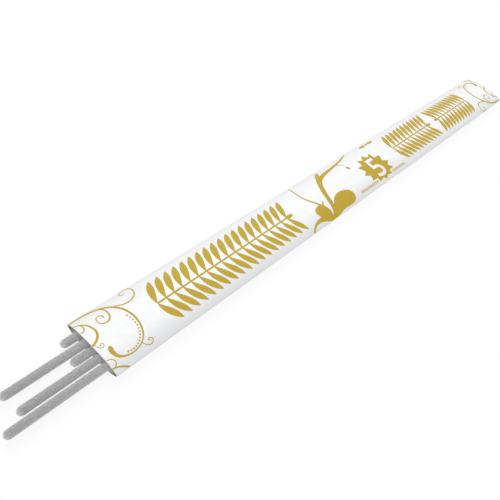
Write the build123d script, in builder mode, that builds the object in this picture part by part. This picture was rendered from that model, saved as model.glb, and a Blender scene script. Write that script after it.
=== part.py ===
from build123d import *
import os

# Packet of five sparklers in a flat card sleeve, in millimetres.
# +X runs along the packet, from the open mouth to the far end, +Y across it and +Z up.
# The origin is the middle of the flat back face that the packet lies on.

# The sleeve, one sheet of card
sleeve_length = 405.0
sleeve_width = 33.4
card_thickness = 0.3
crease_height = 3.53
front_rise = 3.07
front_crown_width = 18.0
front_crown_rise = 0.4
back_flat_width = 18.0

# The lap on the back and the glue in it
lap_width = 10.0
glue_width = 8.0
glue_thickness = 0.1
glue_end_margin = 4.0

# One sparkler: steel wire in a dipped coating
sparkler_length = 400.0
coating_length = 290.0
coating_diameter = 4.1
coating_past_wire = 3.0
coating_runout = 7.0
coating_end_wall = 0.3
wire_diameter = 1.6
wire_end_chamfer = 0.2

# The row of sparklers, which lie loose: how far each one stands out of the mouth, and how far it
# has rolled to one side of its even place
sparkler_spacing = 4.86
sparkler_clearance = 0.25
standouts = (8.5, 40.6, 10.7, 39.3, 48.3)
side_rolls = (0.0, -0.25, -0.1, 0.0, -0.12)

# Places that follow from the sizes above
mouth_x = -sleeve_length / 2
crease_y = sleeve_width / 2 - card_thickness
front_top = crease_height + front_rise - card_thickness
crown_end_height = front_top - front_crown_rise
glue_top = card_thickness + glue_thickness
lap_top = glue_top + card_thickness
coating_radius = coating_diameter / 2
wire_radius = wire_diameter / 2
row_height = lap_top + sparkler_clearance + coating_radius
row_edge = sparkler_spacing * (len(standouts) - 1) / 2

os.makedirs("parts", exist_ok=True)

# The sleeve: the inside face of the card is one line from free edge to free edge. It runs along the
# outer layer of the lap, up to a crease, over the crowned front, down to the other crease and along
# the inner layer of the lap. The card lies outside that line and turns round at each crease.
with BuildPart() as sleeve:
    with BuildSketch(Plane.YZ.offset(mouth_x)):
        with BuildLine():
            outer_layer = Line((-lap_width / 2, card_thickness), (back_flat_width / 2, card_thickness))
            TangentArc(outer_layer @ 1, (crease_y, crease_height), tangent=outer_layer % 1)
            crown = ThreePointArc(
                (front_crown_width / 2, crown_end_height),
                (0, front_top),
                (-front_crown_width / 2, crown_end_height),
            )
            TangentArc(crown @ 0, (crease_y, crease_height), tangent=-(crown % 0))
            TangentArc(crown @ 1, (-crease_y, crease_height), tangent=crown % 1)
            inner_layer = Line((lap_width / 2, lap_top), (-back_flat_width / 2, lap_top))
            TangentArc(inner_layer @ 1, (-crease_y, crease_height), tangent=inner_layer % 1)
            offset(amount=card_thickness, side=Side.LEFT)
        make_face()
    extrude(amount=sleeve_length)
sleeve.part.label = "sleeve"
export_step(sleeve.part, "parts/sleeve.step")

# The glue strip, flat between the outer and the inner layer of the lap
with BuildPart() as seam_glue:
    with BuildSketch(Plane.XY.offset(card_thickness)):
        Rectangle(sleeve_length - 2 * glue_end_margin, glue_width)
    extrude(amount=glue_thickness)
seam_glue.part.label = "seam_glue"
export_step(seam_glue.part, "parts/seam_glue.step")

for number, (standout, side_roll) in enumerate(zip(standouts, side_rolls), start=1):
    even_place = row_edge - sparkler_spacing * (number - 1)
    tip = Vector(mouth_x - standout, even_place + side_roll, row_height)
    turning_axis = Axis(tip, (1, 0, 0))
    half_section = Plane(origin=tip, x_dir=(1, 0, 0), z_dir=(0, -1, 0))

    # The coating: a round tip, an even rod and a run-out where the dip ended on the wire
    with BuildPart() as coating:
        with BuildSketch(half_section):
            with BuildLine():
                dome = CenterArc((coating_radius, 0), coating_radius, 180, -90)
                rod = Line(dome @ 1, (coating_length - coating_runout, coating_radius))
                runout = TangentArc(
                    rod @ 1, (coating_length, wire_radius + coating_end_wall), tangent=rod % 1
                )
                Polyline(
                    runout @ 1,
                    (coating_length, wire_radius),
                    (coating_past_wire, wire_radius),
                    (coating_past_wire, 0),
                    dome @ 0,
                )
            make_face()
        revolve(axis=turning_axis)
    coating.part.label = f"sparkler_{number}_coating"
    export_step(coating.part, f"parts/sparkler_{number}_coating.step")

    # The wire: covered up to just short of the tip, bare where it is held
    with BuildPart() as wire:
        with BuildSketch(Plane(origin=tip + (coating_past_wire, 0, 0), z_dir=(1, 0, 0))):
            Circle(wire_radius)
        extrude(amount=sparkler_length - coating_past_wire)
        chamfer(wire.edges().sort_by(Axis.X)[-1], wire_end_chamfer)
    wire.part.label = f"sparkler_{number}_wire"
    export_step(wire.part, f"parts/sparkler_{number}_wire.step")
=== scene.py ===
import math
import bmesh
import bpy
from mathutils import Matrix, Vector


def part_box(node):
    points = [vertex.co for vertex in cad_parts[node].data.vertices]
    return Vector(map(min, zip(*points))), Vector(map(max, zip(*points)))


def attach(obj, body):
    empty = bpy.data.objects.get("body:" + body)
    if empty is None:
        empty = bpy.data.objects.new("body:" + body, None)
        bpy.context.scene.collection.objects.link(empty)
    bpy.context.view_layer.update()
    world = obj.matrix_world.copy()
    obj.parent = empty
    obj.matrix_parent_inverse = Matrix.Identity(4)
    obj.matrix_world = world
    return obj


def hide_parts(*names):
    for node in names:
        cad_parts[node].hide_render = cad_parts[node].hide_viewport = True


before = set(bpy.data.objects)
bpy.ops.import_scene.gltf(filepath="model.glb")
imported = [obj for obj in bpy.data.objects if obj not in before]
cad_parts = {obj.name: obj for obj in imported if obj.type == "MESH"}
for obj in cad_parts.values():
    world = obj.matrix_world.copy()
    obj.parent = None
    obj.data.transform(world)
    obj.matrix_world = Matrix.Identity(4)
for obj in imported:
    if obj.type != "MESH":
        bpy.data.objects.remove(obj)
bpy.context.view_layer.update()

# The sleeve: one sheet of white-lined grey board, coated and printed on its outer face.
# It is creased along both long edges, pressed to a low crown at the front, and lapped and
# glued along the back. Both ends are cut straight across and left open.
mm = 0.001
sleeve_low, sleeve_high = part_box("sleeve")
mouth_x = sleeve_low.x
sleeve_length = sleeve_high.x - sleeve_low.x
card = 0.3 * mm
sheet_wall = 0.29 * mm
fold_radius = 0.35 * mm
shell = card + fold_radius
crease_y = sleeve_high.y - shell
crease_height = 3.53 * mm
front_top = sleeve_high.z - shell
crown_half_width = 9.0 * mm
crown_rise = 0.4 * mm
back_half_width = 9.0 * mm
lap_width = 10.0 * mm
lap_top = 0.7 * mm
flat_run = lap_width / 2 + back_half_width
shoulder_run = crease_y - crown_half_width
back_run = crease_y - back_half_width
back_steps = 12
crease_steps = 8
front_steps = 12
crown_steps = 24
sleeve_stations = 100
card_smooth = math.radians(30)
wave_height = 0.07 * mm
wave_size = 55 * mm
wave_middle = 0.5
weld_gap = 0.01 * mm


def chord_radius(run, rise, turn):
    """Radius of the arc whose chord has this run and rise and that turns by this angle."""
    return math.hypot(run, rise) / (2 * math.sin(turn / 2))


crown_turn = 2 * math.atan2(crown_rise, crown_half_width)
crown_radius = chord_radius(crown_half_width, crown_rise, crown_turn)
front_drop = front_top - crown_rise - crease_height
front_turn = 2 * (math.atan2(front_drop, shoulder_run) - crown_turn)
front_radius = chord_radius(shoulder_run, front_drop, front_turn)
front_y = crown_half_width - front_radius * math.sin(crown_turn)
front_z = front_top - crown_rise - front_radius * math.cos(crown_turn)
outer_rise = crease_height - shell
outer_turn = 2 * math.atan2(outer_rise, back_run)
outer_radius = chord_radius(back_run, outer_rise, outer_turn)
inner_rise = crease_height - fold_radius - lap_top
inner_turn = 2 * math.atan2(inner_rise, back_run)
inner_radius = chord_radius(back_run, inner_rise, inner_turn)
crease_turn = math.pi - crown_turn - front_turn
# Each bend of the sheet's outer face in turn: its angle, its centre as (y, z) and its steps.
sleeve_bends = (
    (outer_turn, (back_half_width, shell + outer_radius), back_steps),
    (crease_turn - outer_turn, (crease_y, crease_height), crease_steps),
    (front_turn, (front_y, front_z), front_steps),
    (2 * crown_turn, (0, front_top - crown_radius), crown_steps),
    (front_turn, (-front_y, front_z), front_steps),
    (crease_turn - inner_turn, (-crease_y, crease_height), crease_steps),
    (inner_turn, (-back_half_width, lap_top + fold_radius + inner_radius), back_steps),
)


def pick(kind, wanted):
    """Selects, in edit mode, the verts, edges or faces for which wanted is true."""
    modes = {"verts": "VERT", "edges": "EDGE", "faces": "FACE"}
    bpy.ops.mesh.select_mode(type=modes[kind])
    bpy.ops.mesh.select_all(action="DESELECT")
    data = bpy.context.edit_object.data
    mesh = bmesh.from_edit_mesh(data)
    for part in getattr(mesh, kind):
        part.select_set(wanted(part))
    bmesh.update_edit_mesh(data)


def finish_mesh(piece, modifier, **settings):
    """Adds a modifier with these settings to the piece and applies it."""
    bpy.ops.object.select_all(action="DESELECT")
    piece.select_set(True)
    bpy.context.view_layer.objects.active = piece
    added = piece.modifiers.new(modifier.lower(), modifier)
    for name, value in settings.items():
        setattr(added, name, value)
    bpy.ops.object.modifier_apply(modifier=added.name)


def set_in_place(name):
    """Leaves edit mode, names the active object and puts its place into its mesh."""
    if bpy.context.mode != "OBJECT":
        bpy.ops.object.mode_set(mode="OBJECT")
    piece = bpy.context.object
    piece.name = name
    piece.data.name = name
    bpy.ops.object.transform_apply(location=True, rotation=True, scale=True)
    return piece


class Socket:
    """One output of a node; sums, differences and products of these add Math nodes."""

    def __init__(self, tree, output):
        self.tree = tree
        self.output = output

    def node(self, kind, settings, sockets, output=0):
        """Adds a node of this kind: its settings first, then its sockets' values or links."""
        made = self.tree.nodes.new(kind)
        for name, value in settings.items():
            setattr(made, name, value)
        for name, value in sockets.items():
            if isinstance(value, Socket):
                self.tree.links.new(value.output, made.inputs[name])
            else:
                made.inputs[name].default_value = value
        return Socket(self.tree, made.outputs[output])

    def math(self, operation, first, second=0.0):
        """A Math node on one or two values."""
        return self.node("ShaderNodeMath", {"operation": operation}, {0: first, 1: second})

    def __abs__(self):
        return self.math("ABSOLUTE", self)

    def __add__(self, other):
        return self.math("ADD", self, other)

    def __radd__(self, other):
        return self.math("ADD", other, self)

    def __sub__(self, other):
        return self.math("SUBTRACT", self, other)

    def __rsub__(self, other):
        return self.math("SUBTRACT", other, self)

    def __mul__(self, other):
        return self.math("MULTIPLY", self, other)

    def __rmul__(self, other):
        return self.math("MULTIPLY", other, self)

    def ramp(self, low, high):
        """0 where this value is below low, 1 above high, and even between them."""
        return self.node(
            "ShaderNodeMapRange",
            {"clamp": True},
            {"Value": self, "From Min": low, "From Max": high},
        )

    def mix(self, first, second):
        """The colour first where this value is 0, and second where it is 1."""
        # Inputs 6 and 7 of the node are its two colours, and output 2 is the mixed one.
        return self.node(
            "ShaderNodeMix",
            {"data_type": "RGBA"},
            {"Factor": self, 6: first, 7: second},
            2,
        )

    def noise(self, size, detail=2.0, stretch=(1, 1, 1)):
        """Noise of this feature size in metres, from 0 to 1, stretched along the axes."""
        scaled = self.node(
            "ShaderNodeMapping", {}, {"Vector": self, "Scale": [1 / s for s in stretch]}
        )
        return scaled.node(
            "ShaderNodeTexNoise", {}, {"Vector": scaled, "Scale": 1 / size, "Detail": detail}
        )

    def axis(self, index):
        """One coordinate, 0 for x, 1 for y and 2 for z."""
        return self.node("ShaderNodeSeparateXYZ", {}, {"Vector": self}, index)

    def bump(self, distance, strength):
        """A normal from this height, with its depth in metres."""
        return self.node(
            "ShaderNodeBump", {}, {"Height": self, "Distance": distance, "Strength": strength}
        )


def new_finish(name):
    """A new material, its surface shader and its object coordinates."""
    finish = bpy.data.materials.new(name)
    finish.use_nodes = True
    tree = finish.node_tree
    shader = tree.nodes["Principled BSDF"]
    coordinates = tree.nodes.new("ShaderNodeTexCoord")
    return finish, shader, Socket(tree, coordinates.outputs["Object"])


def feed(shader, **inputs):
    """Links sockets to the shader's inputs, and sets plain numbers and colours on them."""
    for name, value in inputs.items():
        place = shader.inputs[name.replace("_", " ")]
        if isinstance(value, Socket):
            value.tree.links.new(value.output, place)
        else:
            place.default_value = value


coated_white = (0.925, 0.93, 0.935, 1)
coated_shade = (0.895, 0.90, 0.91, 1)
# Painted shade: the grey that the white takes at both creases, and how far from the middle it
# starts.
shoulder_shade_white = (0.755, 0.76, 0.77, 1)
shoulder_shade_from = 5.0 * mm
crease_grey = (0.74, 0.74, 0.74, 1)
crease_band = 0.45 * mm
end_band = 0.5 * mm
wear_share = 0.6
formation_size = 2.6 * mm
fibre_size = 0.22 * mm
fibre_depth = 0.008 * mm
crack_size = 0.35 * mm
coated_roughness = 0.33
formation_roughness = 0.09
wear_roughness = 0.3
coated_card, shader, place = new_finish("coated_card")
formation = place.noise(formation_size, detail=3.0)
fibres = place.noise(fibre_size, detail=3.0, stretch=(3, 1, 1))
sideways = abs(place.axis(1))
endways = abs(place.axis(0))
at_crease = sideways.ramp(sleeve_high.y - crease_band, sleeve_high.y)
at_end = endways.ramp(sleeve_high.x - end_band, sleeve_high.x)
cracks = place.noise(crack_size, detail=4.0, stretch=(1, 3, 3)).ramp(low=0.52, high=0.66)
wear = place.math("MAXIMUM", at_crease, at_end) * cracks
# Painted shade: the white darkens from 5 mm off the middle towards both creases, standing in for
# the shoulders turning away from the light.
shoulder_shade = sideways.ramp(shoulder_shade_from, crease_y)
fresh_colour = formation.ramp(low=0.35, high=0.75).mix(coated_white, coated_shade)
sheet_colour = shoulder_shade.mix(fresh_colour, shoulder_shade_white)
feed(
    shader,
    Base_Color=(wear_share * wear).mix(sheet_colour, crease_grey),
    Roughness=coated_roughness + formation_roughness * formation + wear_roughness * wear,
    Normal=(fibres - wear).bump(fibre_depth, strength=0.5),
    Coat_Weight=0.10,
    Coat_Roughness=0.22,
    Specular_IOR_Level=0.35,
)

grey_board = (0.68, 0.68, 0.67, 1)
board_fleck = (0.44, 0.44, 0.44, 1)
board_pale = (0.78, 0.78, 0.76, 1)
# Painted shadow in the inner folds: a near-black that the inside board turns towards both creases,
# where the inside of the sleeve lies in shade.
fold_shade_dark = (0.05, 0.05, 0.053, 1)
fold_shade_from = 12.0 * mm
fold_shade_full = 15.4 * mm
fold_shade_share = 0.65
fold_shade_clouding = 0.3
pulp_size = 1.4 * mm
pulp_depth = 0.02 * mm
fleck_size = 0.5 * mm
fleck_share = 0.55
pale_fibre_size = 0.4 * mm
pale_fibre_share = 0.5
pale_fibre_lift = 0.4
board_roughness = 0.86
pulp_roughness = 0.1
grey_back, shader, place = new_finish("grey_back")
pulp = place.noise(pulp_size, detail=4.0, stretch=(2.5, 1, 1))
flecks = place.noise(fleck_size, stretch=(4, 1, 1)).ramp(low=0.64, high=0.72)
pale_fibres = place.noise(pale_fibre_size, stretch=(1, 4, 1)).ramp(low=0.62, high=0.72)
pale = (1 - pale_fibre_share) * pulp + pale_fibre_share * pale_fibres
board_colour = (fleck_share * flecks).mix(pale.mix(grey_board, board_pale), board_fleck)
# Painted shade: the inside darkens towards the folds, clouded by the pulp.
fold_shade = abs(place.axis(1)).ramp(fold_shade_from, fold_shade_full) * (fold_shade_share + fold_shade_clouding * pulp)
feed(
    shader,
    Base_Color=fold_shade.mix(board_colour, fold_shade_dark),
    Roughness=board_roughness + pulp_roughness * pulp,
    Normal=(pulp + pale_fibre_lift * pale_fibres).bump(pulp_depth, strength=0.6),
)

# The cut edge shows the board's grey core, painted darker than the board's own grey so that it
# reads as the shade line along the mouth's lip.
edge_pale = (0.34, 0.34, 0.335, 1)
edge_dark = (0.22, 0.22, 0.215, 1)
ply_size = 0.07 * mm
ply_depth = 0.02 * mm
edge_roughness = 0.88
ply_roughness = 0.08
cut_edge, shader, place = new_finish("cut_edge")
plies = place.noise(ply_size, detail=3.0, stretch=(2, 2, 1))
feed(
    shader,
    Base_Color=plies.ramp(low=0.4, high=0.65).mix(edge_pale, edge_dark),
    Roughness=edge_roughness + ply_roughness * plies,
    Normal=plies.bump(ply_depth, strength=0.7),
)

bpy.ops.object.select_all(action="DESELECT")
bpy.ops.mesh.primitive_plane_add(
    size=card, location=(mouth_x, -lap_width / 2, 0), enter_editmode=True
)
bpy.ops.mesh.merge(type="CENTER")
bpy.ops.mesh.extrude_vertices_move(TRANSFORM_OT_translate={"value": (0, flat_run, 0)})
for turn, (y, z), steps in sleeve_bends:
    bpy.ops.mesh.spin(steps=steps, angle=turn, center=(mouth_x, y, z), axis=(-1, 0, 0))
bpy.ops.mesh.extrude_vertices_move(TRANSFORM_OT_translate={"value": (0, flat_run, 0)})
bpy.ops.mesh.select_all(action="SELECT")
bpy.ops.mesh.remove_doubles(threshold=weld_gap)
bpy.ops.mesh.extrude_edges_move(TRANSFORM_OT_translate={"value": (sleeve_length, 0, 0)})
pick("edges", lambda edge: edge.calc_length() > sleeve_length / 2)
bpy.ops.mesh.subdivide(number_cuts=sleeve_stations)
bpy.ops.mesh.select_all(action="SELECT")
bpy.ops.mesh.normals_make_consistent(inside=False)
sleeve = set_in_place("printed_sleeve")
# The lines that the front of the sheet bends along at its creases, as y.
crease_bends = set()
for vertex in sleeve.data.vertices:
    if abs(vertex.co.y) > crease_y and vertex.co.z > crease_height:
        crease_bends.add(round(vertex.co.y / weld_gap) * weld_gap)
for finish in (coated_card, grey_back, cut_edge):
    sleeve.data.materials.append(finish)

front = sleeve.vertex_groups.new(name="front")
for vertex in sleeve.data.vertices:
    lift = (vertex.co.z - crease_height) / (sleeve_high.z - crease_height)
    front.add([vertex.index], max(0.0, lift), "REPLACE")
wave = bpy.data.textures.new("card_wave", "CLOUDS")
wave.noise_scale = wave_size
finish_mesh(
    sleeve,
    "DISPLACE",
    texture=wave,
    texture_coords="LOCAL",
    direction="Z",
    vertex_group="front",
    strength=wave_height,
    mid_level=wave_middle,
)
finish_mesh(
    sleeve,
    "SOLIDIFY",
    thickness=sheet_wall,
    offset=-1.0,
    use_even_offset=True,
    use_quality_normals=True,
    material_offset=1,
    material_offset_rim=2,
)
bpy.ops.object.shade_smooth_by_angle(angle=card_smooth)
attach(sleeve, "sleeve")
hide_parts("sleeve")

# The scrollwork: pen-like scrolls in gold ink at both ends of the front, the far end's the same
# as the mouth's turned half round and a little bolder. The ink is a thin even film, printed on
# the flat sheet before it is folded.
ink_film = 0.03 * mm
print_weld = ink_film / 10
trim_gap = ink_film / 100
print_lift = 2 * mm
print_height = sleeve_high.z + print_lift
ink_smooth = math.radians(40)
nib_steps = 8
stroke_steps = 8
stroke_order = 4
dot_sides = 16
film_levels = 4
film_step = 0.02
print_margin = 0.12 * mm
edge_x = sleeve_high.x - print_margin
edge_y = sleeve_high.y - print_margin
gold_ink_colour = (0.545, 0.388, 0.045, 1)
gold_ink_deep = (0.485, 0.345, 0.039, 1)
mottle_size = 0.9 * mm
mottle_share = 0.7
grain_size = 0.12 * mm
grain_depth = 0.004 * mm
grain_metal = 0.12
ink_roughness = 0.46
mottle_roughness = 0.14
gold_ink, shader, place = new_finish("gold_ink")
mottle = place.noise(mottle_size, detail=3.0)
grain = place.noise(grain_size)
uneven = (mottle_share * mottle + (1 - mottle_share) * grain).ramp(low=0.35, high=0.65)
feed(
    shader,
    Base_Color=uneven.mix(gold_ink_colour, gold_ink_deep),
    Roughness=ink_roughness + mottle_roughness * mottle,
    Metallic=grain_metal * grain,
    Normal=grain.bump(grain_depth, strength=0.5),
    Specular_IOR_Level=0.12,
)

nib_line = bpy.data.curves.new("nib", "CURVE")
nib_edge = nib_line.splines.new("POLY")
nib_edge.points.add(nib_steps)
for step, point in enumerate(nib_edge.points):
    point.co = ((step / nib_steps - 0.5) * mm, 0, 0, 1)
nib = bpy.data.objects.new("nib", nib_line)


def pen_stroke(points, turned=False, steps=stroke_steps):
    """A flat stroke through (along, across, width) in mm, from the mouth and the middle line."""
    line = bpy.data.curves.new("stroke", "CURVE")
    line.dimensions = "3D"
    line.twist_mode = "Z_UP"
    line.bevel_mode = "OBJECT"
    line.bevel_object = nib
    spline = line.splines.new("NURBS")
    spline.points.add(len(points) - 1)
    for point, (along, across, width) in zip(spline.points, points):
        x, y = mouth_x + along * mm, across * mm
        point.co = (-x, -y, print_height, 1) if turned else (x, y, print_height, 1)
        point.radius = width
    spline.order_u = stroke_order
    spline.use_endpoint_u = True
    spline.resolution_u = steps
    stroke = bpy.data.objects.new("stroke", line)
    bpy.context.scene.collection.objects.link(stroke)
    return stroke


def ink_dot(along, across, width, turned=False):
    """A flat round dot at (along, across) in mm, from the mouth and the middle line."""
    x, y = mouth_x + along * mm, across * mm
    centre = (-x, -y, print_height) if turned else (x, y, print_height)
    bpy.ops.object.select_all(action="DESELECT")
    bpy.ops.mesh.primitive_circle_add(
        vertices=dot_sides, radius=width * mm / 2, fill_type="TRIFAN", location=centre
    )
    return bpy.context.object


def lay_print(name, parts, film, finish):
    """Joins flat parts to one film on the front, a hair lower in turn so that no two are level."""
    bpy.ops.object.select_all(action="DESELECT")
    for part in parts:
        part.select_set(True)
    bpy.context.view_layer.objects.active = parts[0]
    bpy.ops.object.convert(target="MESH")
    for turn, part in enumerate(parts):
        level = 1 + turn % film_levels if turn else 0
        group = part.vertex_groups.new(name="film")
        group.add(range(len(part.data.vertices)), 1 - film_step * level, "REPLACE")
    bpy.ops.object.join()
    piece = set_in_place(name)
    bpy.ops.object.mode_set(mode="EDIT")
    bpy.ops.mesh.select_all(action="SELECT")
    bpy.ops.mesh.remove_doubles(threshold=print_weld)
    bpy.ops.mesh.select_all(action="SELECT")
    bpy.ops.mesh.dissolve_degenerate(threshold=print_weld)
    for side in (-1, 1):
        for corner, normal in (((edge_x, 0, 0), (side, 0, 0)), ((0, edge_y, 0), (0, side, 0))):
            bpy.ops.mesh.select_all(action="SELECT")
            bpy.ops.mesh.bisect(
                plane_co=[side * value for value in corner],
                plane_no=normal,
                clear_outer=True,
                threshold=trim_gap,
            )
    for bend_y in sorted(crease_bends):
        bpy.ops.mesh.select_all(action="SELECT")
        bpy.ops.mesh.bisect(plane_co=(0, bend_y, 0), plane_no=(0, 1, 0), threshold=trim_gap)
    bpy.ops.mesh.select_all(action="SELECT")
    bpy.ops.mesh.dissolve_degenerate(threshold=print_weld)
    pick("faces", lambda face: face.normal.z < 0)
    bpy.ops.mesh.flip_normals()
    bpy.ops.object.mode_set(mode="OBJECT")
    finish_mesh(
        piece,
        "SHRINKWRAP",
        target=sleeve,
        wrap_method="PROJECT",
        use_project_z=True,
        use_positive_direction=False,
        use_negative_direction=True,
    )
    finish_mesh(piece, "SOLIDIFY", thickness=film, offset=1.0, vertex_group="film")
    bpy.ops.object.shade_smooth_by_angle(angle=ink_smooth)
    piece.data.materials.clear()
    piece.data.materials.append(finish)
    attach(piece, "sleeve")
    return piece


# The scrolls of one end, each as (along, across, width) in mm.
end_scrolls = (
    # the great scroll, from the crease round to its club end
    (
        (-0.5, 15.6, 0.8), (8.0, 16.2, 0.95), (16.2, 14.4, 1.05), (22.8, 8.8, 1.1),
        (24.9, 0.5, 1.1), (22.4, -8.2, 0.85), (17.4, -12.3, 0.5), (11.0, -13.1, 0.6),
        (5.8, -11.5, 1.1), (4.7, -7.8, 2.2), (5.2, -5.9, 2.3), (5.6, -4.9, 1.9),
        (5.75, -4.6, 1.1), (5.8, -4.5, 0.1),
    ),
    # the curl inside it
    (
        (12.4, 14.9, 0.4), (16.4, 13.6, 0.7), (17.2, 8.6, 0.85), (13.6, 5.0, 0.8), (9.4, 6.6, 0.55),
        (9.6, 10.6, 0.45), (12.8, 11.2, 0.5), (13.8, 9.2, 0.75), (12.8, 8.7, 0.4),
    ),
    # the tendril beyond it, back to the crease
    (
        (20.5, 11.0, 0.5), (23.6, 9.0, 0.7), (28.6, 8.0, 0.7), (33.6, 10.8, 0.7), (34.3, 15.4, 0.6),
        (30.6, 16.8, 0.5), (26.4, 15.4, 0.45), (27.2, 13.6, 0.45), (29.6, 13.8, 0.3),
    ),
    # the small curl below it
    (
        (18.2, -11.6, 0.4), (18.6, -13.4, 0.45), (21.2, -14.7, 0.45), (23.5, -13.4, 0.45),
        (22.9, -11.4, 0.45), (21.1, -11.6, 0.5), (21.4, -12.7, 0.65), (22.0, -12.5, 0.3),
    ),
    # the scroll on the end's edge
    (
        (-0.5, 13.0, 0.5), (3.8, 12.4, 0.7), (6.4, 7.6, 0.9), (6.2, 3.2, 1.1), (3.0, 0.4, 1.1),
        (-0.5, -0.4, 0.9),
    ),
    # its inner curl
    ((2.0, 12.4, 0.4), (3.6, 11.2, 0.55), (3.2, 8.6, 0.6), (1.4, 7.4, 0.55), (-0.5, 8.0, 0.45)),
    # its outer curl
    (
        (1.2, -0.3, 0.35), (1.3, -2.6, 0.4), (3.2, -3.9, 0.4), (4.8, -2.4, 0.4), (3.8, -1.0, 0.4),
        (2.6, -1.9, 0.5), (3.2, -2.2, 0.3),
    ),
    # the corner's curl
    (
        (-0.5, -9.4, 0.3), (2.4, -9.2, 0.4), (4.0, -11.6, 0.45), (2.4, -13.6, 0.45),
        (-0.5, -14.0, 0.3),
    ),
    # the corner's stroke, over the crease
    ((-0.5, -13.4, 0.35), (3.0, -13.8, 0.6), (5.2, -15.2, 0.9), (7.6, -17.2, 0.9)),
)
dot_row_centre = (12.8, -0.6)
dot_row_radii = (9.6, 11.0)
dot_row_from = 20
dot_row_to = -104
dot_row_count = 15
dot_row_width = 0.92
# Each end: its name, whether it is turned, and how much wider its strokes are.
scroll_ends = (("mouth", False, 1.0), ("far", True, 1.2))
for end_name, turned, gain in scroll_ends:
    scrolls = []
    for points in end_scrolls:
        widened = [(along, across, width * gain) for along, across, width in points]
        scrolls.append(pen_stroke(widened, turned))
    for step in range(dot_row_count):
        angle = math.radians(
            dot_row_from + (dot_row_to - dot_row_from) * step / (dot_row_count - 1)
        )
        scrolls.append(
            ink_dot(
                dot_row_centre[0] + dot_row_radii[0] * math.cos(angle),
                dot_row_centre[1] + dot_row_radii[1] * math.sin(angle),
                dot_row_width,
                turned,
            )
        )
    lay_print(f"scrollwork_{end_name}", scrolls, ink_film, gold_ink)

# The garlands: three runs of laurel in gold ink along the middle of the front, each a thin stalk
# with pairs of steep leaves. The last two grow towards each other. One pass prints all the gold.
garland_middle = -0.25
stalk_width = 1.0
# One leaf from the stalk to its tip: along the stalk, out from it, and wide there, in mm.
laurel_leaf = (
    (0.0, 0.2, 0.5), (0.5, 3.0, 2.6), (1.9, 6.6, 4.3), (3.9, 10.2, 3.6), (5.4, 12.6, 0.3),
)
# The leaf at the stalk's end, along it.
end_leaf = ((-1.4, 0.5), (0.6, 3.2), (3.0, 3.4), (5.4, 0.3))
# Each garland: its root and its last leaf's tip in mm from the mouth, and its pairs of leaves.
garlands = ((37.2, 140.0, 19), (252.2, 307.0, 11), (366.6, 313.4, 11))
for number, (root, tip, pairs) in enumerate(garlands, start=1):
    way = math.copysign(1, tip - root)
    last_foot = tip - way * laurel_leaf[-1][0]
    feet = [root + (last_foot - root) * pair / (pairs - 1) for pair in range(pairs)]
    leaves = [pen_stroke([(foot, garland_middle, stalk_width) for foot in feet])]
    for foot in feet:
        for side in (-1, 1):
            leaves.append(
                pen_stroke(
                    [
                        (foot + way * along, garland_middle + side * out, width)
                        for along, out, width in laurel_leaf
                    ]
                )
            )
    leaves.append(
        pen_stroke([(last_foot + way * along, garland_middle, width) for along, width in end_leaf])
    )
    lay_print(f"garland_{number}", leaves, ink_film, gold_ink)

# The sprig: a branch in gold ink that grows from one crease between two full leaves, forks at
# the other crease and trails away along it. It is printed in the same pass.
sprig_strokes = (
    # the stem
    (
        (162.0, -17.2, 1.8), (166.4, -13.6, 2.7), (169.4, -5.0, 3.1), (172.4, 2.0, 3.1),
        (177.0, 8.4, 3.6), (180.4, 11.9, 3.4), (182.6, 14.0, 2.4), (183.4, 14.8, 0.8),
    ),
    # the branch along the crease
    (
        (176.6, 7.0, 2.2), (180.6, 10.2, 2.9), (188.0, 11.4, 2.4), (198.0, 12.1, 1.9),
        (208.0, 13.4, 1.3), (216.4, 15.9, 0.7),
    ),
    # the leaf towards the far end
    (
        (163.8, -16.6, 0.7), (168.0, -14.2, 4.4), (172.6, -11.4, 8.4), (178.0, -9.9, 11.0),
        (183.6, -10.3, 10.8), (187.2, -11.1, 8.4), (188.8, -11.6, 4.4), (189.0, -11.7, 0.3),
    ),
    # the leaf towards the mouth
    (
        (161.2, -17.0, 3.0), (160.2, -13.6, 7.2), (158.7, -10.4, 10.4), (157.5, -7.4, 10.0),
        (157.0, -5.7, 7.5), (156.8, -5.2, 4.2), (156.8, -5.1, 0.3),
    ),
    # its tail, over the crease
    (
        (163.6, -17.0, 2.4), (159.0, -14.8, 3.6), (153.6, -12.7, 3.4), (148.4, -12.9, 1.4),
        (144.4, -14.1, 1.1), (141.4, -17.0, 1.2),
    ),
    # its tendril
    (
        (161.4, -7.0, 1.6), (160.6, -3.8, 1.4), (156.4, 1.4, 1.2), (154.9, 8.4, 1.0),
        (156.0, 13.6, 0.8), (157.2, 17.0, 0.5),
    ),
    # its stub
    ((161.8, -7.0, 1.2), (162.8, -5.2, 1.1), (165.2, -3.8, 0.5)),
    # the twig on the branch
    ((200.4, 12.2, 0.5), (203.2, 11.0, 0.6), (205.2, 8.4, 0.45)),
    # its bud
    ((205.2, 7.2, 0.3), (205.0, 6.4, 2.9), (205.2, 4.6, 3.1), (205.6, 3.8, 0.3)),
)
lay_print("sprig", [pen_stroke(points) for points in sprig_strokes], ink_film, gold_ink)

# The badge: a twelve-pointed star in gold ink, wider than it is tall, with a plain 5 for the
# number of sparklers inside. The figure is white, a second film over the gold.
badge_along = 223.5
badge_across = -3.8
badge_half_width = 14.5
badge_half_height = 11.4
badge_points = 12
badge_valley = 0.73
badge_cuts = 11
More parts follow.
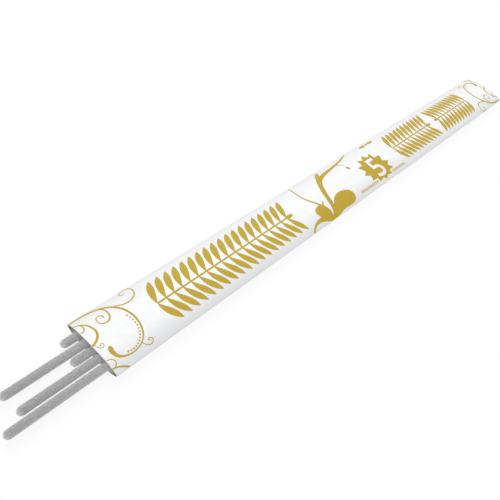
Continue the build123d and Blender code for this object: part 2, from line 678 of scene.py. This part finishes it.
# The star's sides droop: a band of its half height, from and to, and how far the band drops.
badge_droops = ((0.3, 0.6, 0.06), (-0.75, -0.65, 0.14), (-0.6, 0.3, 0.17), (-0.9, -0.86, 0.07))
figure_width = 2.3
figure_film = 2 * ink_film
bpy.ops.object.select_all(action="DESELECT")
bpy.ops.mesh.primitive_circle_add(
    vertices=2 * badge_points,
    radius=1.0,
    fill_type="TRIFAN",
    location=(mouth_x + badge_along * mm, badge_across * mm, print_height),
    enter_editmode=True,
)
pick("verts", lambda vertex: vertex.index % 2 == 0 and vertex.co.length > badge_valley)
bpy.ops.transform.resize(
    value=(badge_valley, badge_valley, 1),
    center_override=(mouth_x + badge_along * mm, badge_across * mm, print_height),
)
for band_low, band_high, drop in badge_droops:
    pick("verts", lambda vertex: band_low < vertex.co.y < band_high)
    bpy.ops.transform.translate(value=(0, -drop, 0))
bpy.ops.mesh.select_all(action="SELECT")
bpy.ops.mesh.subdivide(number_cuts=badge_cuts)
bpy.ops.object.mode_set(mode="OBJECT")
star = bpy.context.object
star.scale = (badge_half_width * mm, badge_half_height * mm, 1)
lay_print("badge_star", [star], ink_film, gold_ink)
# The figure's strokes, each as (along, across) in mm.
figure_strokes = (
    # the top bar
    ((228.0, 1.7), (225.0, 1.7), (220.6, 1.7)),
    # the neck
    ((221.8, 2.7), (221.5, -0.6), (221.2, -3.8), (221.2, -5.4)),
    # the bowl
    (
        (220.2, -4.3), (222.8, -4.3), (227.2, -4.0), (228.2, -8.8), (225.2, -11.9),
        (221.6, -11.3), (219.0, -10.4),
    ),
)
strokes = []
for points in figure_strokes:
    strokes.append(pen_stroke([(along, across, figure_width) for along, across in points]))
figure = lay_print("badge_figure", strokes, figure_film, coated_card)

# The ticks: two rows of short gold strokes beside the badge, and a spray of two buds and a dot by
# the other crease. They are printed in the same pass.
tick_rows = ((195.4, 214.0, 15), (232.8, 247.6, 12))
tick_middle = -13.4
tick_half_height = 1.0
tick_width = 0.75
tick_steps = 2
# A tick from end to end: a share of its height, and of its width there.
tick_shape = ((-1, 0.1), (-0.93, 0.55), (-0.75, 1), (0.75, 1), (0.93, 0.55), (1, 0.1))
spray_along = 239.0
spray_across = 13.6
spray_dot = 2.0
spray_bud = ((1.4, 0.2), (2.6, 2.8), (5.2, 3.4), (8.2, 0.2))
ticks = []
for first, last, count in tick_rows:
    for step in range(count):
        tick = first + (last - first) * step / (count - 1)
        ticks.append(
            pen_stroke(
                [
                    (tick, tick_middle + tick_half_height * share, tick_width * part)
                    for share, part in tick_shape
                ],
                steps=tick_steps,
            )
        )
ticks.append(ink_dot(spray_along, spray_across, spray_dot))
for side in (-1, 1):
    ticks.append(
        pen_stroke([(spray_along + side * out, spray_across, width) for out, width in spray_bud])
    )
lay_print("ticks", ticks, ink_film, gold_ink)
bpy.data.objects.remove(nib)

# The glue: a strip of dried white glue, rolled on between the two layers of the lap on the back.
# It is squeezed flat when the seam is pressed, and is seen only at the two open ends.
glue_clear = (0.74, 0.71, 0.62, 1)
glue_milky = (0.83, 0.81, 0.75, 1)
pool_size = 2.2 * mm
pool_depth = 0.03 * mm
glue_roughness = 0.28
pool_roughness = 0.25
dried_glue, shader, place = new_finish("dried_glue")
pools = place.noise(pool_size, detail=3.0)
feed(
    shader,
    Base_Color=pools.mix(glue_clear, glue_milky),
    Roughness=glue_roughness + pool_roughness * pools,
    Normal=pools.bump(pool_depth, strength=0.5),
)
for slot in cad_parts["seam_glue"].material_slots:
    slot.material = dried_glue

# The wires: straight low-carbon steel, drawn through a die and cropped to length, one in each
# sparkler. The tail is bare where it is held, and the rest is inside the coating.
wire_sides = 24
wire_smooth = math.radians(35)
end_facing = 0.9
crop_length = 0.35 * mm
# The cropped end in steps: a share of its length, and how far it narrows across and in height.
crop_steps = ((0.5, 0.97, 0.93), (0.35, 0.9, 0.74), (0.15, 0.86, 0.45))
wire_bright = (0.50, 0.49, 0.47, 1)
wire_dark = (0.27, 0.25, 0.23, 1)
wire_rust = (0.23, 0.13, 0.07, 1)
draw_line_size = 0.09 * mm
draw_line_depth = 0.01 * mm
draw_line_share = 0.4
scale_size = 2.4 * mm
scale_share = 0.5
rust_size = 0.45 * mm
rust_share = 0.7
rust_dulling = 0.75
rust_pitting = 0.5
steel_roughness = 0.30
draw_line_roughness = 0.16
rust_roughness = 0.30
drawn_steel, shader, place = new_finish("drawn_steel")
draw_lines = place.noise(draw_line_size, detail=3.0, stretch=(60, 1, 1))
scale = place.noise(scale_size, detail=4.0, stretch=(4, 1, 1)).ramp(low=0.45, high=0.7)
rust = place.noise(rust_size, detail=3.0, stretch=(2, 1, 1)).ramp(low=0.68, high=0.76)
steel_colour = (scale_share * scale + draw_line_share * draw_lines).mix(wire_bright, wire_dark)
feed(
    shader,
    Base_Color=(rust_share * rust).mix(steel_colour, wire_rust),
    Metallic=1 - rust_dulling * rust,
    Roughness=steel_roughness + draw_line_roughness * draw_lines + rust_roughness * rust,
    Normal=(draw_lines - rust_pitting * rust).bump(draw_line_depth, strength=0.6),
)

sparkler_count = 5
wire_low, wire_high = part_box("sparkler_1_wire")
wire_middle = (wire_low + wire_high) / 2
wire_radius = (wire_high.z - wire_low.z) / 2
tail_centre = (wire_high.x, wire_middle.y, wire_middle.z)
bpy.ops.object.select_all(action="DESELECT")
bpy.ops.mesh.primitive_cylinder_add(
    vertices=wire_sides,
    radius=wire_radius,
    depth=wire_high.x - wire_low.x - crop_length,
    end_fill_type="NGON",
    location=(wire_middle.x - crop_length / 2, wire_middle.y, wire_middle.z),
    rotation=(0, math.pi / 2, 0),
)
set_in_place("wire")
bpy.ops.object.mode_set(mode="EDIT")
pick("faces", lambda face: face.normal.x > end_facing)
for share, across, upward in crop_steps:
    bpy.ops.mesh.extrude_region_move(TRANSFORM_OT_translate={"value": (crop_length * share, 0, 0)})
    bpy.ops.transform.resize(value=(1, across, upward), center_override=tail_centre)
bpy.ops.mesh.poke()
bpy.ops.object.mode_set(mode="OBJECT")
wire = bpy.context.object
bpy.ops.object.shade_smooth_by_angle(angle=wire_smooth)
wire.data.materials.append(drawn_steel)


def copy_to(piece, node, name):
    """A copy of the piece with its own mesh, moved to where this CAD node is."""
    copied = piece.copy()
    copied.data = piece.data.copy()
    copied.name = name
    copied.data.name = name
    bpy.context.scene.collection.objects.link(copied)
    # Corners 0 and 6 of the box are opposite each other.
    corners = [Vector(corner) for corner in copied.bound_box]
    middle = (corners[0] + corners[6]) / 2
    node_low, node_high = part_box(node)
    bpy.ops.object.select_all(action="DESELECT")
    copied.select_set(True)
    bpy.context.view_layer.objects.active = copied
    bpy.ops.transform.translate(value=(node_low + node_high) / 2 - middle)
    bpy.ops.object.transform_apply(location=True, rotation=True, scale=True)
    return copied


for number in range(1, sparkler_count + 1):
    node = f"sparkler_{number}_wire"
    tail = copy_to(wire, node, f"steel_wire_{number}")
    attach(tail, f"sparkler_{number}")
    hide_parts(node)
bpy.data.objects.remove(wire)

# The coatings: grey sparkler composition, a slurry of oxidiser, binder and iron filings that the
# wire is dipped into and dried. It has a round tip, a grainy skin and a thin ragged run-out.
coating_sides = 32
dome_steps = 9
runout_steps = 7
runout = 7.0 * mm
end_wall = 0.3 * mm
end_lip = 1.2 * end_wall
rod_lengths = 22
length_rings = 23
lump_height = 0.13 * mm
lump_size = 1.3 * mm
lump_octaves = 2
lump_middle = 0.75
dip_pale = (0.495, 0.495, 0.495, 1)
dip_grey = (0.445, 0.445, 0.445, 1)
dip_shade = (0.34, 0.34, 0.345, 1)
iron_fleck = (0.18, 0.18, 0.185, 1)
pale_fleck = (0.62, 0.62, 0.61, 1)
cloud_size = 3.5 * mm
grit_size = 0.65 * mm
grit_depth = 0.06 * mm
iron_size = 0.24 * mm
iron_share = 0.55
iron_metal = 0.35
iron_gloss = 0.25
iron_lift = 0.3
pale_size = 0.33 * mm
pale_share = 0.6
dip_roughness = 0.82
cloud_roughness = 0.08
dipped_grey, shader, place = new_finish("dipped_grey")
clouding = place.noise(cloud_size, detail=3.0, stretch=(2, 1, 1))
grit = place.noise(grit_size, detail=4.0)
iron = place.noise(iron_size, detail=1.0).ramp(low=0.66, high=0.72)
pale = place.noise(pale_size, detail=1.0, stretch=(1, 1.3, 1)).ramp(low=0.68, high=0.74)
clouded = clouding.ramp(low=0.3, high=0.7).mix(dip_pale, dip_grey)
gritty = grit.ramp(low=0.36, high=0.64).mix(clouded, dip_shade)
flecked = (iron_share * iron).mix(gritty, iron_fleck)
feed(
    shader,
    Base_Color=(pale_share * pale).mix(flecked, pale_fleck),
    Metallic=iron_metal * iron,
    Roughness=dip_roughness - iron_gloss * iron + cloud_roughness * clouding,
    Normal=(grit + iron_lift * iron).bump(grit_depth, strength=0.7),
    Diffuse_Roughness=0.9,
    Sheen_Weight=0.5,
    Sheen_Roughness=0.5,
)

coating_low, coating_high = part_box("sparkler_1_coating")
coating_middle = (coating_low + coating_high) / 2
coating_radius = (coating_high.z - coating_low.z) / 2
rod_from = coating_low.x + coating_radius
rod_to = coating_high.x - runout
bpy.ops.object.select_all(action="DESELECT")
bpy.ops.mesh.primitive_cylinder_add(
    vertices=coating_sides,
    radius=coating_radius,
    depth=rod_to - rod_from,
    end_fill_type="NGON",
    location=((rod_from + rod_to) / 2, coating_middle.y, coating_middle.z),
    rotation=(0, math.pi / 2, 0),
)
set_in_place("coating")
bpy.ops.object.mode_set(mode="EDIT")
# One cut takes no more than 100 rings, so the rod is cut into lengths and each length into rings.
for shares in (rod_lengths, length_rings):
    pick("edges", lambda edge: edge.calc_length() > coating_radius * 2)
    bpy.ops.mesh.subdivide(number_cuts=shares - 1)


def grow_end(places):
    """Extrudes the selected end through (x, radius) places, each ring scaled to its radius."""
    ring_x, ring_radius = places[0]
    for x, radius in places[1:]:
        bpy.ops.mesh.extrude_region_move(TRANSFORM_OT_translate={"value": (x - ring_x, 0, 0)})
        share = radius / ring_radius
        bpy.ops.transform.resize(
            value=(1, share, share), center_override=(x, coating_middle.y, coating_middle.z)
        )
        ring_x, ring_radius = x, radius


dome_places = []
for step in range(dome_steps):
    angle = math.pi / 2 * step / dome_steps
    dome_places.append(
        (rod_from - coating_radius * math.sin(angle), coating_radius * math.cos(angle))
    )
pick("faces", lambda face: face.normal.x < -end_facing)
grow_end(dome_places)
bpy.ops.mesh.poke(offset=dome_places[-1][0] - coating_low.x)
runout_drop = coating_radius - wire_radius - end_wall
runout_bend = (runout**2 + runout_drop**2) / (2 * runout_drop)
runout_places = []
for step in range(runout_steps + 1):
    out = runout * step / runout_steps
    drop = runout_bend - math.sqrt(runout_bend**2 - out**2)
    runout_places.append((rod_to + out, coating_radius - drop))
pick("faces", lambda face: face.normal.x > end_facing)
grow_end(runout_places)
bpy.ops.mesh.inset(thickness=end_lip)
bpy.ops.mesh.select_all(action="SELECT")
bpy.ops.mesh.normals_make_consistent(inside=False)
bpy.ops.object.mode_set(mode="OBJECT")
coating = bpy.context.object
coating.data.materials.append(dipped_grey)

lumps = bpy.data.textures.new("dip_lumps", "CLOUDS")
lumps.noise_scale = lump_size
lumps.noise_depth = lump_octaves
for number in range(1, sparkler_count + 1):
    node = f"sparkler_{number}_coating"
    dipped = copy_to(coating, node, f"dipped_coating_{number}")
    finish_mesh(
        dipped,
        "DISPLACE",
        texture=lumps,
        texture_coords="LOCAL",
        strength=lump_height,
        mid_level=lump_middle,
    )
    bpy.ops.object.shade_smooth()
    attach(dipped, f"sparkler_{number}")
    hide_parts(node)
bpy.data.objects.remove(coating)

# The studio: a white floor under the packet, an even white surround, a broad soft lamp behind
# and a small one in front. The camera stands over the mouth, a little to one side, and leans
# over as the picture does.
floor_size = 8.0
studio_white = (1.0, 1.0, 1.0, 1)
floor_bounce = (0.85, 0.85, 0.85, 1)
floor_glow = 0.8
surround_level = 0.46
# Each lamp: its name, the share of the light that it gives, its spread in degrees and where from.
lamps = (
    ("back_lamp", 0.23, 55, Vector((0.45, 0.66, 0.60))),
    ("front_lamp", 0.33, 8, Vector((-0.91, -0.19, 0.39))),
)
camera_place = (-0.30153, -0.10691, 0.23352)
camera_view = Vector((0.6216, 0.3237, -0.7133))
camera_lean = 19.95
camera_lens = 43.84
camera_near = 0.005


def seen_rays(tree):
    """1 for rays that show a surface itself, also in a mirror or through glass, and else 0."""
    path = tree.nodes.new("ShaderNodeLightPath")
    camera_ray = Socket(tree, path.outputs["Is Camera Ray"])
    glossy_ray = Socket(tree, path.outputs["Is Glossy Ray"])
    return camera_ray + glossy_ray + Socket(tree, path.outputs["Is Transmission Ray"])


bpy.ops.object.select_all(action="DESELECT")
bpy.ops.mesh.primitive_plane_add(size=floor_size, location=(0, 0, 0))
floor = set_in_place("floor")
floor_finish, shader, place = new_finish("floor_white")
seen = seen_rays(place.tree)
feed(
    shader,
    Base_Color=seen.mix(floor_bounce, studio_white),
    Roughness=1.0,
    Specular_IOR_Level=0.0,
)
glow = place.node("ShaderNodeEmission", {}, {"Color": studio_white, "Strength": 1.0})
matt = Socket(place.tree, shader.outputs["BSDF"])
mixed = place.node("ShaderNodeMixShader", {}, {0: seen * floor_glow, 1: matt, 2: glow})
floor_output = place.tree.nodes["Material Output"]
place.tree.links.new(mixed.output, floor_output.inputs["Surface"])
floor.data.materials.append(floor_finish)

surround = bpy.data.worlds.new("surround")
bpy.context.scene.world = surround
surround.use_nodes = True
background = surround.node_tree.nodes["Background"]
seen = seen_rays(surround.node_tree)
feed(
    background,
    Color=studio_white,
    Strength=surround_level + (1 - surround_level) * seen,
)

for lamp_name, level, spread, lamp_from in lamps:
    lamp_data = bpy.data.lights.new(lamp_name, "SUN")
    lamp_data.angle = math.radians(spread)
    lamp_data.energy = level * math.pi / lamp_from.normalized().z
    lamp = bpy.data.objects.new(lamp_name, lamp_data)
    lamp.rotation_mode = "QUATERNION"
    lamp.rotation_quaternion = lamp_from.to_track_quat("Z", "Y")
    bpy.context.scene.collection.objects.link(lamp)

camera_data = bpy.data.cameras.new("camera")
camera_data.lens = camera_lens
camera_data.clip_start = camera_near
camera = bpy.data.objects.new("camera", camera_data)
camera.location = camera_place
camera.rotation_euler = camera_view.to_track_quat("-Z", "Y").to_euler()
camera.rotation_euler.rotate_axis("Z", math.radians(camera_lean))
bpy.context.scene.collection.objects.link(camera)
bpy.context.scene.camera = camera
bpy.context.scene.view_settings.view_transform = "Standard"
